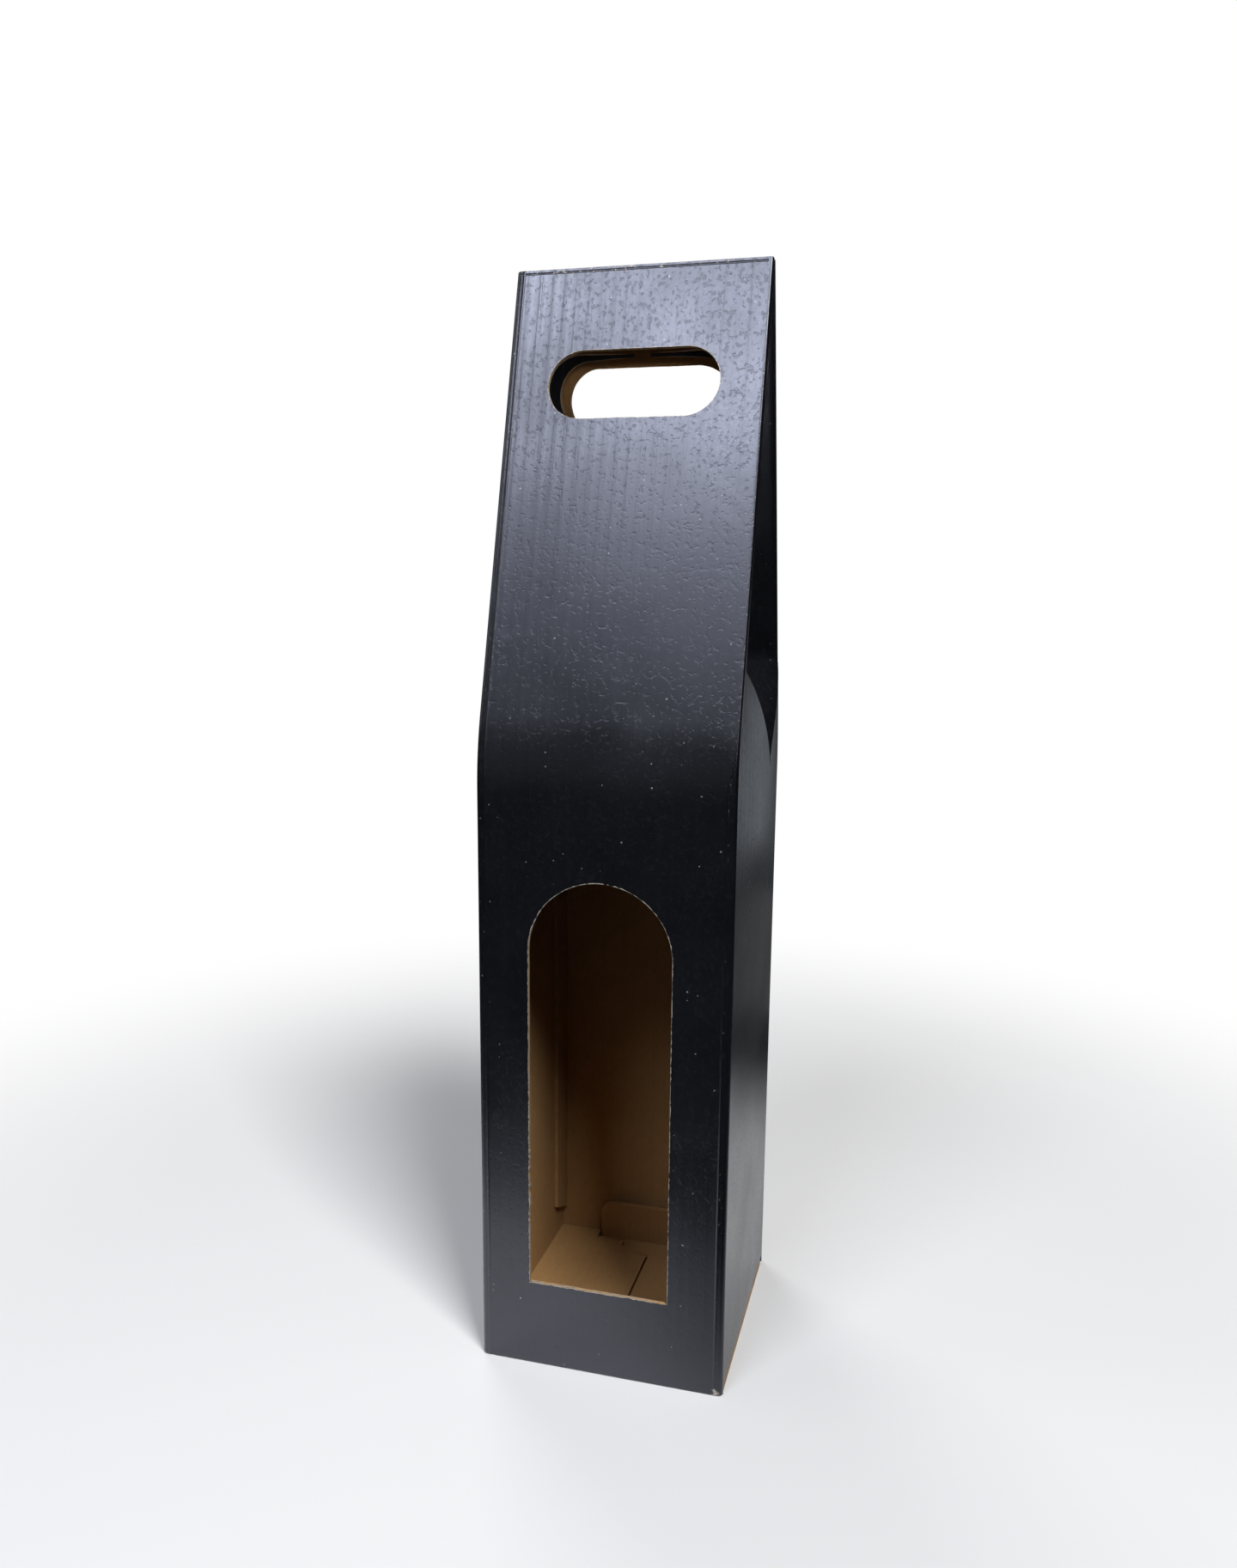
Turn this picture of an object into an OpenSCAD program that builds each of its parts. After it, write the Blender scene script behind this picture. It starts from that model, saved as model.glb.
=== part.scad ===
// Wine box with a sloped top, a hand slot and an arched window, folded from
// one blank of fluted board. X runs across the front, Y runs to the back and
// Z is up. The origin is the middle of the bottom.

/* [Box] */
// Outside width across the front
box_w = 90; // [84:1:104]
// Outside depth from front to back
box_d = 90; // [84:1:104]
// Outside height to the top fold
box_h = 388; // [360:1:420]
// Thickness of the fluted board
board_t = 1.6; // [1.2:0.1:2.4]
// Height of the crease where the front and back start to slope
shoulder_z = 224; // [200:1:240]
// Depth of the flat ridge along the top fold
ridge_w = 5; // [4:0.5:10]

/* [Window] */
// Width of the arched window
window_w = 51; // [36:1:60]
// Height of the window's square bottom edge
window_low = 32; // [24:1:60]
// Height of the top of the window's arch
window_top = 182; // [120:1:190]
// Shift of the window towards the right
window_shift = -1; // [-6:1:6]

/* [Hand slot] */
// Length of the hand slot
slot_l = 60; // [50:1:68]
// Height of the hand slot, measured on the sloped panel
slot_h = 24; // [18:1:26]
// Distance from the top fold down the slope to the slot's middle
slot_down = 41.4; // [36:0.2:52]
// How much lower the hole lies in the back board
slot_back_drop = 2.5; // [0:0.5:4]

/* [Side folds] */
// Height of the lowest point of the side's V crease
vee_low = 218; // [200:1:222]
// Height at which the V crease meets the front and back edges
vee_high = 254; // [246:1:270]
// How strongly the arms of the V crease bow, 1 is straight
vee_bow = 1.6; // [1:0.1:2.2]
// How far the side wall bulges below the V crease
bulge = 3.5; // [0:0.5:6]
// Height at which the bulge begins
bulge_from = 120; // [60:5:180]
// Width that the folded-in sides lose by bowing
fold_slack = 2.5; // [1:0.5:6]
// Distance from the top fold down to the trimmed edge of the folded-in sides
fold_trim = 17; // [15:1:24]

/* [Flaps] */
// Height of the flap that hangs from the top fold, inside the back
top_flap_h = 12; // [6:1:13]
// Width of the glued flap inside the left wall
glue_flap_w = 12.5; // [8:0.5:20]
// Height of the glued flap's lower end
glue_flap_low = 12; // [11:1:30]
// Height of the glued flap's upper end
glue_flap_high = 208; // [120:2:214]
// Width of the flap that tucks in at the back of the bottom
tuck_w = 49; // [30:1:60]
// Height of the tucked flap
tuck_h = 20; // [12:1:24]
// Radius of the tucked flap's corners
tuck_r = 6; // [2:1:8]
// Lean of the tucked flap towards the front, in degrees
tuck_lean = 10; // [9:0.5:14]
// Place of the slit between the two dust flaps, to the right of the middle
slit_x = -1.3; // [-6:0.1:6]
// Reach of the right dust flap's hook past the slit
hook_reach = 6; // [3:0.5:10]
// Depth of the hook from front to back
hook_d = 8; // [5:0.5:14]

/* [Clearances] */
// Gap between boards that lie on each other
fit_gap = 0.15; // [0.1:0.05:0.3]
// Gap at the free edges of the bottom's boards
edge_gap = 0.3; // [0.2:0.05:0.6]
// Gap in front of the tucked flap, so that the dust flaps swing past it
swing_gap = 0.6; // [0.4:0.1:1.5]
// Gap beside the tucked flap and in front of the dust flaps
flap_gap = 1.5; // [1:0.5:3]
// Gap along the slit between the dust flaps
slit_gap = 0.8; // [0.4:0.1:1.5]
// Gap between the bottom's rear fold and the back wall
tuck_gap = 0.6; // [0.5:0.1:1.2]
// Gap between the two boards of a folded-in side at its middle crease
crease_gap = 0.2; // [0.1:0.1:0.6]

/* [Hidden] */

$fn = 48;
print_colour = "#20222b";
kraft_colour = "#b58b5e";

half_w = box_w / 2;
half_d = box_d / 2;
slope_rise = box_h - shoulder_z;
slope_run = half_d - ridge_w / 2;
slope_deg = atan(slope_run / slope_rise);
slope_length = slope_rise / cos(slope_deg);
// Thickness of a sloped board, measured level from front to back
slant_t = board_t / cos(slope_deg);
slot_up = slope_length - slot_down;
slot_z = shoulder_z + slot_up * cos(slope_deg);
slot_rise = slot_h * cos(slope_deg);
fold_top = box_h - fold_trim;
// The bottom panel lies lowest and the dust flaps lie on it
floor_z = board_t + fit_gap;
fold_x = half_w - board_t - fit_gap;
rear_fold_y = half_d - board_t - tuck_gap;
// The tucked flap leans to the front: where the panel ends behind its foot,
// and where the dust flaps end in front of its upper edge
tuck_foot_y = rear_fold_y - board_t * (cos(tuck_lean) + tan(tuck_lean)) - fit_gap;
tuck_front_y = rear_fold_y - tuck_h * sin(tuck_lean) - board_t - swing_gap;
flap_rear_y = half_d - board_t - edge_gap;
flap_front_y = -half_d + board_t + flap_gap;
tuck_side_x = tuck_w / 2 + flap_gap;
hook_taper = hook_d / 4;
fold_rows = 10;
upper_rows = 16;
wall_rows = 12;
tip_rows = 3;
knee_share = 0.95;
fold_cols = 6;
slot_steps = 16;
arch_fn = 96;
slot_fn = 64;
// Width of the folded-in side at its lowest row, in crease gaps
tip_gaps = 4;
// Reach up and down over which a folded-in side's slope is taken
normal_reach = 0.5;
past = 10;

function blend(a, b, f) = a + (b - a) * f;
function limit(f) = min(1, max(0, f));
function smooth(f) = limit(f) * limit(f) * (3 - 2 * limit(f));
function unit(v) = v / norm(v);

// Half depth of the box at a height, outside and inside the front board
function outer_half(z) = half_d - slope_run * limit((z - shoulder_z) / slope_rise);
function inner_half(z) = min(half_d - board_t, outer_half(z) - slant_t);

// Inner face of the right side wall: u runs from -1 at the front to 1 at the back
function wall_bulge(u, z) = bulge * smooth((z - bulge_from) / (vee_low - bulge_from)) * (1 - u * u);
function wall_point(u, z) = [half_w - board_t + wall_bulge(u, z), u * inner_half(z), z];

// The V crease: where it lies across the side at a height, and its height there
function vee_u(z) = pow(limit((z - vee_low) / (vee_high - vee_low)), vee_bow);
function vee_z(u) = blend(vee_low, vee_high, pow(abs(u), 1 / vee_bow));

// A folded-in side runs level from the V crease or the edge to its middle
// crease, and keeps the width that it has in the flat blank
function fold_start(z) = wall_point(vee_u(z), z);
function fold_width(z) = fold_start(z)[1] + half_d - board_t - inner_half(z)
    - fold_slack * limit((z - shoulder_z) / slope_rise);
function fold_depth(z) = sqrt(max(0, pow(fold_width(z), 2) - pow(fold_start(z)[1], 2)));
function fold_point(s, z) = [
    fold_start(z)[0] - s * fold_depth(z),
    blend(fold_start(z)[1], crease_gap / 2, s),
    z
];
function fold_normal(s, z) = unit(cross(
    fold_point(s, z + normal_reach) - fold_point(s, z - normal_reach),
    [-fold_depth(z), -fold_start(z)[1], 0]
));
function fold_print(s, z) = let(
    p = fold_point(s, z) + board_t * (s == 0 ? [1, 0, 0] : fold_normal(s, z))
) [p[0], max(crease_gap / 2, p[1]), p[2]];

// The folded-in side begins where it is a few gaps wide, just above the V's tip
tip_z = vee_z(tip_gaps * crease_gap / (half_d - board_t));
fold_levels = [for (i = [0 : fold_rows]) blend(tip_z, vee_high, i / fold_rows)];

function join_lists(lists) = [for (list = lists) for (item = list) item];

// Closed board between two grids of points with the same rows and columns
module board_sheet(near, far) {
    rows = len(near);
    cols = len(near[0]);
    shift = rows * cols;
    function at(r, c) = r * cols + c;
    function side(a, b) = [[a, b, b + shift], [a, b + shift, a + shift]];
    near_faces = [for (r = [0 : rows - 2]) for (c = [0 : cols - 2])
        each [[at(r, c), at(r + 1, c), at(r + 1, c + 1)], [at(r, c), at(r + 1, c + 1), at(r, c + 1)]]];
    far_faces = [for (f = near_faces) [f[0] + shift, f[2] + shift, f[1] + shift]];
    low_faces = [for (c = [0 : cols - 2]) each side(at(0, c), at(0, c + 1))];
    high_faces = [for (c = [0 : cols - 2]) each side(at(rows - 1, c + 1), at(rows - 1, c))];
    start_faces = [for (r = [0 : rows - 2]) each side(at(r + 1, 0), at(r, 0))];
    end_faces = [for (r = [0 : rows - 2]) each side(at(r, cols - 1), at(r + 1, cols - 1))];
    polyhedron(
        points = concat(join_lists(near), join_lists(far)),
        faces = concat(near_faces, far_faces, low_faces, high_faces, start_faces, end_faces),
        convexity = 6
    );
}

// Plan of a front or back board, with its corners rounded by the folds
module board_plan() {
    translate([-half_w + board_t, 0])
        square([box_w - 2 * board_t, board_t]);
    intersection() {
        for (side = [-1, 1])
            translate([side * (half_w - board_t), board_t])
                circle(board_t);
        translate([-half_w, 0])
            square([box_w, board_t]);
    }
}

module window_cut() {
    arch_r = window_w / 2;
    translate([window_shift, past, 0])
        rotate([90, 0, 0])
            linear_extrude(2 * past) {
                translate([-arch_r, window_low])
                    square([window_w, window_top - arch_r - window_low]);
                translate([0, window_top - arch_r])
                    circle(arch_r, $fn = arch_fn);
            }
}

// Outline with round ends, lying in the plane of X and Y
module slot_outline(length, height) {
    square([length - height, height], center = true);
    for (side = [-1, 1])
        translate([side * (length - height) / 2, 0])
            circle(height / 2, $fn = slot_fn);
}

// The hand slot as it passes level through the folded-in sides
module level_slot() {
    r = slot_rise / 2;
    run = (slot_l - slot_h) / 2;
    step = 180 / slot_steps;
    translate([0, half_d, slot_z])
        rotate([90, 0, 0])
            linear_extrude(box_d)
                polygon([
                    for (i = [0 : slot_steps]) [run + r * sin(i * step), -r * cos(i * step)],
                    for (i = [0 : slot_steps]) [-run - r * sin(i * step), r * cos(i * step)]
                ]);
}

module lower_board() {
    translate([0, -half_d, 0])
        linear_extrude(shoulder_z)
            board_plan();
}

module upper_board(slot_middle) {
    intersection() {
        translate([0, -half_d, shoulder_z])
            rotate([-slope_deg, 0, 0])
                difference() {
                    translate([0, 0, -past])
                        linear_extrude(slope_length + 2 * past)
                            board_plan();
                    translate([0, past, slot_middle])
                        rotate([90, 0, 0])
                            linear_extrude(2 * past)
                                slot_outline(slot_l, slot_h);
                }
        translate([-half_w, -half_d, shoulder_z])
            cube([box_w, half_d, slope_rise - board_t]);
    }
}

module front_wall() {
    color(print_colour)
        difference() {
            lower_board();
            translate([0, -half_d, 0])
                window_cut();
        }
}

module front_upper() {
    color(print_colour)
        upper_board(slot_up);
}

module back_wall() {
    color(print_colour)
        mirror([0, 1, 0])
            lower_board();
}

module back_upper() {
    color(print_colour)
        mirror([0, 1, 0])
            upper_board(slot_up - slot_back_drop);
}

// Right side wall: its columns meet the rows of the folded-in side on the V crease
module side_wall() {
    rear_columns = [for (z = fold_levels) vee_u(z)];
    columns = concat([for (i = [fold_rows : -1 : 0]) -rear_columns[i]], [0], rear_columns);
    // A row lies on the shoulder wherever the V crease is above it
    function knee(u) = min(shoulder_z, blend(floor_z, vee_z(u), knee_share));
    function level(u, r) = r <= wall_rows
        ? blend(floor_z, knee(u), r / wall_rows)
        : blend(knee(u), vee_z(u), (r - wall_rows) / tip_rows);
    inner = [for (r = [0 : wall_rows + tip_rows]) [for (u = columns) wall_point(u, level(u, r))]];
    outer = [for (row = inner) [for (p = row) p + [board_t, 0, 0]]];
    board_sheet(inner, outer);
}

module left_wall() {
    color(print_colour)
        mirror([1, 0, 0])
            side_wall();
}

module right_wall() {
    color(print_colour)
        side_wall();
}

// Rear half of the right folded-in side
module gusset_half() {
    levels = concat(
        fold_levels,
        [for (i = [1 : upper_rows]) blend(vee_high, fold_top, i / upper_rows)]
    );
    inner = [for (z = levels) [for (c = [0 : fold_cols]) fold_point(c / fold_cols, z)]];
    outer = [for (z = levels) [for (c = [0 : fold_cols]) fold_print(c / fold_cols, z)]];
    color(print_colour)
        difference() {
            board_sheet(inner, outer);
            level_slot();
        }
}

module left_gusset_front() {
    mirror([1, 0, 0])
        mirror([0, 1, 0])
            gusset_half();
}

module left_gusset_rear() {
    mirror([1, 0, 0])
        gusset_half();
}

module right_gusset_front() {
    mirror([0, 1, 0])
        gusset_half();
}

module right_gusset_rear() {
    gusset_half();
}

// Flap on the back wall's left edge, glued to the inside of the left wall
module glue_flap() {
    start_u = 1 - glue_flap_w / (half_d - board_t);
    rows = 10;
    cols = 3;
    function level(r) = blend(glue_flap_low, glue_flap_high, r / rows);
    outer = [for (r = [0 : rows]) [for (c = [0 : cols]) wall_point(blend(start_u, 1, c / cols), level(r))]];
    inner = [for (row = outer) [for (p = row) p - [board_t, 0, 0]]];
    color(kraft_colour)
        mirror([1, 0, 0])
            translate([-fit_gap, 0, 0])
                board_sheet(inner, outer);
}

// Ridge over the top, which goes on as a flap glued inside the back
module top_flap() {
    flap_w = box_w - 2 * board_t;
    ridge_r = board_t / 2;
    top = box_h - board_t;
    low = top - top_flap_h;
    color(print_colour)
        translate([-flap_w / 2, 0, 0])
            rotate([90, 0, 90])
                linear_extrude(flap_w) {
                    translate([-ridge_w / 2 + ridge_r, top])
                        square([ridge_w - 2 * ridge_r, board_t]);
                    translate([-ridge_w / 2, top])
                        square([ridge_w, board_t - ridge_r]);
                    for (side = [-1, 1])
                        translate([side * (ridge_w / 2 - ridge_r), box_h - ridge_r])
                            circle(ridge_r);
                    polygon([
                        [inner_half(top) - slant_t, top],
                        [inner_half(low) - slant_t, low],
                        [inner_half(low), low],
                        [inner_half(top), top]
                    ]);
                }
}

module bottom_panel() {
    front = -half_d + board_t + fit_gap;
    color(kraft_colour)
        translate([-half_w + edge_gap, front, 0])
            cube([box_w - 2 * edge_gap, tuck_foot_y - front, board_t]);
}

module bottom_tuck_flap() {
    color(kraft_colour)
        translate([0, rear_fold_y, board_t * sin(tuck_lean)])
            rotate([90 + tuck_lean, 0, 0])
                linear_extrude(board_t) {
                    translate([-tuck_w / 2, 0])
                        square([tuck_w, tuck_h - tuck_r]);
                    translate([-tuck_w / 2 + tuck_r, 0])
                        square([tuck_w - 2 * tuck_r, tuck_h]);
                    for (side = [-1, 1])
                        translate([side * (tuck_w / 2 - tuck_r), tuck_h - tuck_r])
                            circle(tuck_r);
                }
}

module left_dust_flap() {
    edge_x = slit_x - slit_gap / 2;
    hook_y = tuck_front_y - hook_d - slit_gap;
    bay_r = hook_d - slit_gap;
    color(kraft_colour)
        translate([0, 0, floor_z])
            linear_extrude(board_t)
                difference() {
                    polygon([
                        [-fold_x, flap_front_y],
                        [edge_x, flap_front_y],
                        [edge_x, tuck_front_y],
                        [-tuck_side_x, tuck_front_y],
                        [-tuck_side_x, flap_rear_y],
                        [-fold_x, flap_rear_y]
                    ]);
                    // Bay for the right dust flap's hook, rounded as the die cuts it
                    translate([edge_x - hook_reach, hook_y + bay_r])
                        circle(bay_r);
                    translate([edge_x - hook_reach, hook_y])
                        square([2 * hook_reach, past + hook_d]);
                    translate([edge_x - hook_reach - bay_r, hook_y + bay_r])
                        square([2 * bay_r, past + hook_d]);
                }
}

module right_dust_flap() {
    edge_x = slit_x + slit_gap / 2;
    hook_y = tuck_front_y - hook_d;
    color(kraft_colour)
        translate([0, 0, floor_z])
            linear_extrude(board_t)
                polygon([
                    [fold_x, flap_front_y],
                    [edge_x, flap_front_y],
                    [edge_x, hook_y],
                    [edge_x - hook_reach, hook_y + hook_taper],
                    [edge_x - hook_reach, tuck_front_y],
                    [tuck_side_x, tuck_front_y],
                    [tuck_side_x, flap_rear_y],
                    [fold_x, flap_rear_y]
                ]);
}

front_wall();
front_upper();
back_wall();
back_upper();
left_wall();
right_wall();
left_gusset_front();
left_gusset_rear();
right_gusset_front();
right_gusset_rear();
glue_flap();
top_flap();
bottom_panel();
bottom_tuck_flap();
left_dust_flap();
right_dust_flap();
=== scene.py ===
"""Wine box folded from one blank of fluted board: its dressed boards, its stage and its camera."""
import math

import bmesh
import bpy
from bpy.props import FloatProperty, FloatVectorProperty, PointerProperty
from mathutils import Matrix, Vector, noise
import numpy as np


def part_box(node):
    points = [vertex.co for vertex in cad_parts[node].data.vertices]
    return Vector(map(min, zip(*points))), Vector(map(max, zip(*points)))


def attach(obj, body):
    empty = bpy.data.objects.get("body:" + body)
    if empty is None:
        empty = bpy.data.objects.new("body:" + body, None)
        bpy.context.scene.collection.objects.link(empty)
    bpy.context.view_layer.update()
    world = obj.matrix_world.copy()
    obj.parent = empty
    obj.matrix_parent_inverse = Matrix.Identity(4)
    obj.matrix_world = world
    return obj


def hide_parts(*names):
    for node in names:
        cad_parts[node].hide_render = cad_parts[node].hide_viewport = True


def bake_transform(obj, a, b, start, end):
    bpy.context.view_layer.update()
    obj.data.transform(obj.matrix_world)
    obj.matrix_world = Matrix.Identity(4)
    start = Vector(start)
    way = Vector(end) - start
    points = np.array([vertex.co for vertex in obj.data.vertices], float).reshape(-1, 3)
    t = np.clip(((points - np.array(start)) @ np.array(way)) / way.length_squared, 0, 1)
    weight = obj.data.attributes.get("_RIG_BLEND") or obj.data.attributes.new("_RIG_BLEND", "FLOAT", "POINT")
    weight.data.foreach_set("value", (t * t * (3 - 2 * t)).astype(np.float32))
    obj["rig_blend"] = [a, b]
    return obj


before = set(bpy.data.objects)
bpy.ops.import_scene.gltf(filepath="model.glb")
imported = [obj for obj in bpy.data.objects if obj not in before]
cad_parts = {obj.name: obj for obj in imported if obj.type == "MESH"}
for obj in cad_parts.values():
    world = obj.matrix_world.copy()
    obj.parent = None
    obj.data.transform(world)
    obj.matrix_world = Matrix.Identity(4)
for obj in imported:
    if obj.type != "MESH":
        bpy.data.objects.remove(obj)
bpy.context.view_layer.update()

bl_info = {
    "name": "Folded Wine Box",
    "version": (1, 0, 0),
    "blender": (4, 5, 0),
    "location": "3D View > Sidebar > Wine Box",
    "description": "Folds a wine box with a window and a hand slot from fluted board",
    "category": "Add Mesh",
}

# Finishes of a board, and the material slots that its printed face, bare face and cut edge take
FINISHES = ("satin_print", "kraft_liner", "cut_edge")
PRINT, KRAFT, CUT = range(3)

QUARTER = math.pi / 2
SNAP = 1e-5
FRAY_SEED = 1  # 0 would start the noise from the clock
X, Y, Z = (Vector(row) for row in Matrix.Identity(3))

# Lengths that only finish the boards, in metres
BEAD_W = 0.0004  # scored bead
LIP = 0.0003  # board past a corner, against the side wall
CORE_R = 0.0001  # inside of an upright corner
FOLD_R = 0.0003  # inside of a hinged crease
GLUE = 0.00015  # behind the seam flap
SEAM_BEVEL = 0.006  # slant at the seam flap's ends
RIDGE_TAPER = 0.001  # of the flap that closes the top
SCUFF_R = 0.0022  # scuffed lower corner
TOP_WEAR = 0.0012  # worn print at the top fold
WARP_MARGIN = 0.010  # between a corner and the warp
WARP_FADE = 0.008  # over which the warp dies out there
WARP_ENDS = 0.020  # and at the foot and the top

# How worn the print is, from 0 to 1
CREST_RUB, SCUFF_RUB, TOP_RUB = 0.24, 0.9, 0.35

# Painted pools of light on the floor that each wall mirrors, with painted shade beyond them, and floor that
# shows: middle, start and end of its rim
LEFT_PAINTED_LIGHT_POOL = ((-0.09, -0.02, 0), 0.095, 0.18)
RIGHT_PAINTED_LIGHT_POOL = ((0.10, 0.08, 0), 0.07, 0.19)
SHOWN_FLOOR = ((0, 0, 0), 0.20, 0.55)


def measured():
    """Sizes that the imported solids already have, in metres."""
    front_low, front_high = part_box("front_wall")
    back_low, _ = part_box("back_wall")
    ridge_low, ridge_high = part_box("top_flap")
    fold_low, fold_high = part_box("right_gusset_rear")
    glued_low, glued_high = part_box("glue_flap")
    bottom_low, bottom_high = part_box("bottom_panel")
    tuck_low, tuck_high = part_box("bottom_tuck_flap")
    dust_low, dust_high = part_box("left_dust_flap")
    hook_low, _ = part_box("right_dust_flap")
    return {
        "box_w": front_high.x - front_low.x,
        "box_d": -2 * front_low.y,
        "box_h": ridge_high.z,
        "board_t": -front_low.y - back_low.y,
        "shoulder": front_high.z,
        "ridge_w": -2 * ridge_low.y,
        "fold_top": fold_high.z,
        "fold_low": fold_low.z,
        "glued_w": glued_high.y - glued_low.y,
        "glued_low": glued_low.z,
        "glued_high": glued_high.z,
        "bottom_front": bottom_low.y,
        "bottom_rear": bottom_high.y,
        "tuck_w": tuck_high.x - tuck_low.x,
        "tuck_foot": tuck_high.y,
        "tuck_top": tuck_high.z,
        "floor_z": dust_low.z,
        "dust_front": dust_low.y,
        "dust_rear": dust_high.y,
        "slit_left": dust_high.x,
        "hook_tip": hook_low.x,
        "ridge_flap": ridge_high.z - ridge_low.z + front_low.y + back_low.y,
    }


CAD = measured()


def length(name, description, default):
    """A size in metres, shown in the scene's own unit."""
    return FloatProperty(
        name=name, description=description, default=default, precision=5, subtype="DISTANCE", unit="LENGTH"
    )


def colour(name, description, default):
    """A linear colour."""
    return FloatVectorProperty(
        name=name, description=description, default=default, size=3, min=0, max=1, subtype="COLOR"
    )


def degrees(name, description, default):
    """An angle, given in degrees."""
    return FloatProperty(name=name, description=description, default=math.radians(default), subtype="ANGLE")


class BoxSizes(bpy.types.PropertyGroup):
    """Sizes of the folded box."""

    board_t: length("Board thickness", "Thickness of the fluted board", CAD["board_t"])
    box_w: length("Width", "Outside width across the front", CAD["box_w"])
    box_d: length("Depth", "Outside depth from front to back", CAD["box_d"])
    box_h: length("Height", "Outside height to the top fold", CAD["box_h"])
    shoulder: length("Shoulder height", "Height where the front starts to slope", CAD["shoulder"])
    ridge_w: length("Ridge depth", "Depth of the ridge along the top", CAD["ridge_w"])
    bend_l: length("Shoulder bend", "Board that the soft shoulder bend takes up", 0.026)
    corner_w: length("Corner crease", "Width of an upright corner's rounding", 0.0026)
    window_w: length("Window width", "Width of the arched window", 0.051)
    window_low: length("Window sill", "Height of the window's bottom edge", 0.032)
    window_top: length("Window top", "Height of the top of the arch", 0.182)
    window_shift: length("Window shift", "How far right of the middle the window lies", -0.001)
    slot_l: length("Slot length", "Length of the hand slot", 0.060)
    slot_h: length("Slot height", "Height of the hand slot on the slope", 0.024)
    slot_down: length("Slot place", "From the top fold down the slope to the slot's middle", 0.0414)
    slot_back_drop: length("Back slot drop", "How much lower the hole in the back board lies", 0.0025)
    vee_low: length("V crease, low", "Height of the lowest point of the V crease", 0.218)
    vee_high: length("V crease, high", "Height where the V crease meets the edges", 0.254)
    vee_bow: FloatProperty(name="V crease bow", description="1 is straight arms", default=1.6, min=1, max=3)
    bulge: length("Bulge", "How far a side wall stands out below the V crease", 0.0035)
    bulge_from: length("Bulge start", "Height at which the bulge begins", 0.120)
    fold_slack: length("Fold slack", "Width that a folded-in side loses by bowing", 0.0025)
    crease_gap: length("Crease gap", "Gap between the two halves of a folded-in side", 0.0002)
    tuck_r: length("Tuck corner", "Radius of the tucked flap's corners", 0.006)
    tuck_lean: degrees("Tuck lean", "Lean of the tucked flap", 10)
    tuck_h: length("Tuck height", "Height of the tucked flap", 0.020)
    hook_d: length("Hook depth", "Depth of the dust flap's hook", 0.008)
    slit_gap: length("Slit", "Gap between the two dust flaps", 0.0008)
    flap_gap: length("Flap gap", "Gap beside the tucked flap", 0.0015)
    swing_gap: length("Swing gap", "Gap in front of the tucked flap", 0.0006)
    flute: length("Flute pitch", "Distance from one flute to the next", 0.0045)
    fray: length("Fray", "Unevenness of the die-cut edges", 0.00016)
    ragged_low: length("Ragged stretch, low", "Where the window's left edge starts to be torn", 0.056)
    ragged_high: length("Ragged stretch, high", "Where the window's left edge stops being torn", 0.088)
    warp: length("Warp", "How far a board wanders from flat", 0.0004)
    bead: length("Crease bead", "Height of the scored bead beside a corner", 0.00018)
    slope_corner_w: length("Slope corner", "Width of the right corner's rounding up the slope", 0.0010)
    slot_room: length("Slot room", "How much further the slot reaches in the folded-in sides", 0.0022)
    rim_w: length("Worn rim", "Width of the worn print round the window and the slot", 0.0004)
    fold_reach: length("Hinge crease", "Board that a hinged crease takes up on each side", 0.0050)
    fold_turn: length("Hinge centre", "How far from its corner a hinged crease starts to turn", 0.0030)
    crease_r: length("Bottom crease", "Rounding of the creases of the bottom", 0.0008)
    dust_crease_r: length("Dust flap crease", "Rounding of the creases of the dust flaps", 0.0020)


class BoxColours(bpy.types.PropertyGroup):
    """Colours and finish of the box."""

    ink: colour("Print", "Blue-black print on the outside", (0.0013, 0.0014, 0.0024))
    ink_pale: colour("Print, rubbed", "Print where it is rubbed or thin", (0.0035, 0.0037, 0.005))
    sheen: colour("Print sheen", "Tint of the light that the print reflects", (0.84, 0.87, 1.0))
    torn: colour("Torn print", "Paper that shows where the print is rubbed off", (0.46, 0.42, 0.36))
    dust: colour("Dust", "Dust and small scratches on the print", (0.30, 0.30, 0.31))
    kraft: colour("Kraft", "Bare brown inside of the board", (0.365, 0.208, 0.078))
    kraft_dark: colour("Kraft flecks", "Darker fibres in the kraft", (0.22, 0.12, 0.048))
    raw: colour("Cut edge", "Fresh paper at the cut edges", (0.46, 0.37, 0.28))
    # Painted shade: a darker copy of the kraft stands for the shade in the hollows between the flutes at a
    # cut edge
    gap: colour("Flute hollow", "Depth between the flutes at a cut edge", (0.11, 0.07, 0.035))
    gloss: FloatProperty(
        name="Print roughness", description="Lower is glossier", default=0.31, min=0, max=1, subtype="FACTOR"
    )


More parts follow.
